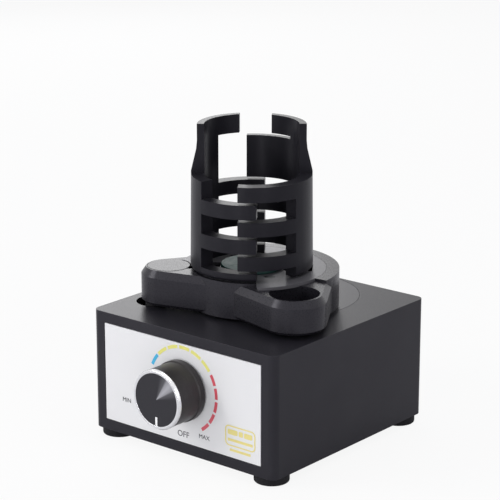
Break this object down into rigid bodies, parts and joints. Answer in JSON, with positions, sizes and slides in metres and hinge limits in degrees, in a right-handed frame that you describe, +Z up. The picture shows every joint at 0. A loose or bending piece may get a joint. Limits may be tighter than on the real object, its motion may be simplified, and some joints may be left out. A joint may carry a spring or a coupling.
{
  "type": "bottle shaker",
  "caption": "Box-shaped tabletop bottle shaker with a front speed knob, a lobed platform that swings in a small circle and a two-jaw sprung bottle holder.",
  "frame": {"origin": "on the ground, at the middle of the whole object's bounding box", "axes": "+Z up, the knob and the white panel face -Y, +X is to the right of someone looking at the panel"},
  "size_m": [0.085, 0.1032, 0.1154],
  "materials": {
    "case_black": "satin",
    "deck_gloss": "gloss",
    "platform_black": "satin",
    "plate_grey": "satin",
    "panel_white": "satin",
    "knob_dark": "brushed",
    "bright_rim": "polished",
    "pointer_white": "gloss",
    "foot_rubber": "matte",
    "pad_green": "matte",
    "steel": "machined",
    "zinc": "satin",
    "crank_alloy": "machined",
    "contact_brass": "satin",
    "dark_nylon": "matte",
    "pale_nylon": "satin",
    "board_green": "gloss",
    "capacitor_blue": "gloss",
    "wire_red": "satin",
    "wire_yellow": "satin",
    "wire_black": "satin"
  },
  "bodies": {
    "base": {"housing": "case_black", "deck_plate": "deck_gloss", "bottom_cover": "case_black", "feet": "foot_rubber", "foot_screws": "steel", "front_panel": "panel_white", "pot_body": "zinc", "pot_bushing": "steel", "pot_nut": "steel", "pot_washer": "steel", "pot_lugs": "contact_brass", "motor_can": "zinc", "motor_end_cap": "dark_nylon", "motor_lugs": "contact_brass", "motor_plate": "zinc", "motor_screws": "steel", "plate_screws": "steel", "circuit_board": "board_green", "board_spacers": "pale_nylon", "board_screws": "steel", "capacitors": "capacitor_blue", "driver_chip": "dark_nylon", "board_terminals": "pale_nylon", "inlet_socket": "dark_nylon", "inlet_nut": "steel", "inlet_pin": "steel", "motor_wires": "wire_red", "pot_wires": "wire_yellow", "inlet_wires": "wire_black"},
    "knob": {"knob_body": "knob_dark", "knob_rim": "bright_rim", "knob_face": "knob_dark", "knob_pointer": "pointer_white", "knob_set_screw": "steel", "pot_shaft": "steel"},
    "crank": {"motor_shaft": "steel", "crank_hub": "crank_alloy", "crank_pin": "steel", "counterweight": "zinc", "crank_set_screw": "steel", "pin_screw": "steel", "bearing_inner_race": "steel", "bearing_balls": "steel"},
    "platform_set": {"platform": "platform_black", "top_plate": "plate_grey", "lobe_cap": "platform_black", "guide_posts": "steel", "post_sleeves": "foot_rubber", "top_plate_screws": "steel", "cup_pad": "pad_green", "bearing_outer_race": "steel", "spring_left": "steel", "spring_right": "steel"},
    "right_jaw": {"jaw_right": "platform_black"},
    "left_jaw": {"jaw_left": "platform_black"}
  },
  "joints": [
    {"name": "knob_turn", "type": "hinge", "parent": "base", "child": "knob", "pos_m": [0.001, -0.05, 0.027], "axis": [0, 1, 0], "range_deg": [0, 321]},
    {"name": "crank_spin", "type": "hinge", "parent": "base", "child": "crank", "pos_m": [-0.003, 0.0049, 0.042], "axis": [0, 0, 1], "continuous": true},
    {"name": "platform_orbit", "type": "hinge", "parent": "crank", "child": "platform_set", "pos_m": [-0.00123, 0.00313, 0.053], "axis": [0, 0, 1], "continuous": true},
    {"name": "right_jaw_slide", "type": "slide", "parent": "platform_set", "child": "right_jaw", "axis": [0.8192, 0.5736, 0], "range_m": [-0.0055, 0.0018], "stiffness_N_per_m": 300, "deforming": ["spring_right"]},
    {"name": "left_jaw_slide", "type": "slide", "parent": "platform_set", "child": "left_jaw", "axis": [-0.8192, -0.5736, 0], "range_m": [-0.0055, 0.0018], "stiffness_N_per_m": 300, "deforming": ["spring_left"]}
  ],
  "couplings": [
    {"joint": "platform_orbit", "follows": "crank_spin", "ratio": -1}
  ]
}
